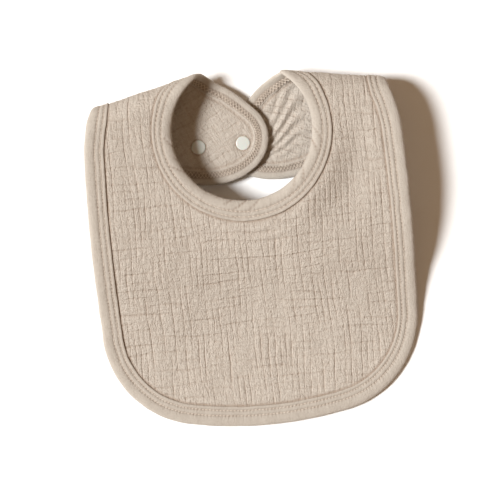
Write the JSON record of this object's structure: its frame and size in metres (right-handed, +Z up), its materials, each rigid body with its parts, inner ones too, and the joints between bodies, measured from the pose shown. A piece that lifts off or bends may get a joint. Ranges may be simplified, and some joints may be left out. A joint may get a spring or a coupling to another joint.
{
  "type": "muslin baby bib",
  "caption": "Padded cotton muslin baby bib with bound edges, closed at its snap and laid down with both shoulders folded behind.",
  "frame": {"origin": "on the table under the middle of the folded bib's outline", "axes": "+X across the bib to the viewer's right, +Y towards the shoulders, +Z up out of the front face"},
  "size_m": [0.243, 0.272, 0.0377],
  "materials": {
    "muslin": "crinkled double gauze, matte",
    "lining": "crinkled double gauze, matte",
    "padding": "absorbent felted cotton",
    "binding": "bias-cut gauze tape, matte",
    "thread": "spun polyester thread",
    "snap": "pale satin-gloss moulded resin"
  },
  "bodies": {
    "straps": {"left_shoulder_muslin": "muslin", "left_shoulder_padding": "padding", "left_shoulder_lining": "lining", "left_shoulder_binding": "binding", "left_shoulder_needle_thread": "thread", "left_shoulder_looper_thread": "thread", "inner_snap_cap": "snap", "inner_snap_socket": "snap", "right_strap_muslin": "muslin", "right_strap_padding": "padding", "right_strap_lining": "lining", "right_strap_binding": "binding", "right_strap_needle_thread": "thread", "right_strap_looper_thread": "thread", "stud_cap": "snap", "snap_stud": "snap"},
    "front_panel": {"front_muslin": "muslin", "front_padding": "padding", "front_lining": "lining", "front_edge_binding": "binding", "front_edge_needle_thread": "thread", "front_edge_looper_thread": "thread", "front_neck_binding": "binding", "front_neck_needle_thread": "thread", "front_neck_looper_thread": "thread"},
    "left_strap_end": {"left_strap_end_muslin": "muslin", "left_strap_end_padding": "padding", "left_strap_end_lining": "lining", "left_strap_end_binding": "binding", "left_strap_end_needle_thread": "thread", "left_strap_end_looper_thread": "thread", "tip_snap_cap": "snap", "tip_snap_socket": "snap"}
  },
  "joints": [
    {"name": "shoulder_fold", "type": "hinge", "parent": "straps", "child": "front_panel", "pos_m": [0, 0.1365, 0.0203], "axis": [-1, 0, 0], "range_deg": [0, 150]},
    {"name": "left_strap_peel", "type": "hinge", "parent": "straps", "child": "left_strap_end", "pos_m": [-0.017, 0.079, 0.0107], "axis": [0, -1, 0], "range_deg": [0, 120]}
  ]
}
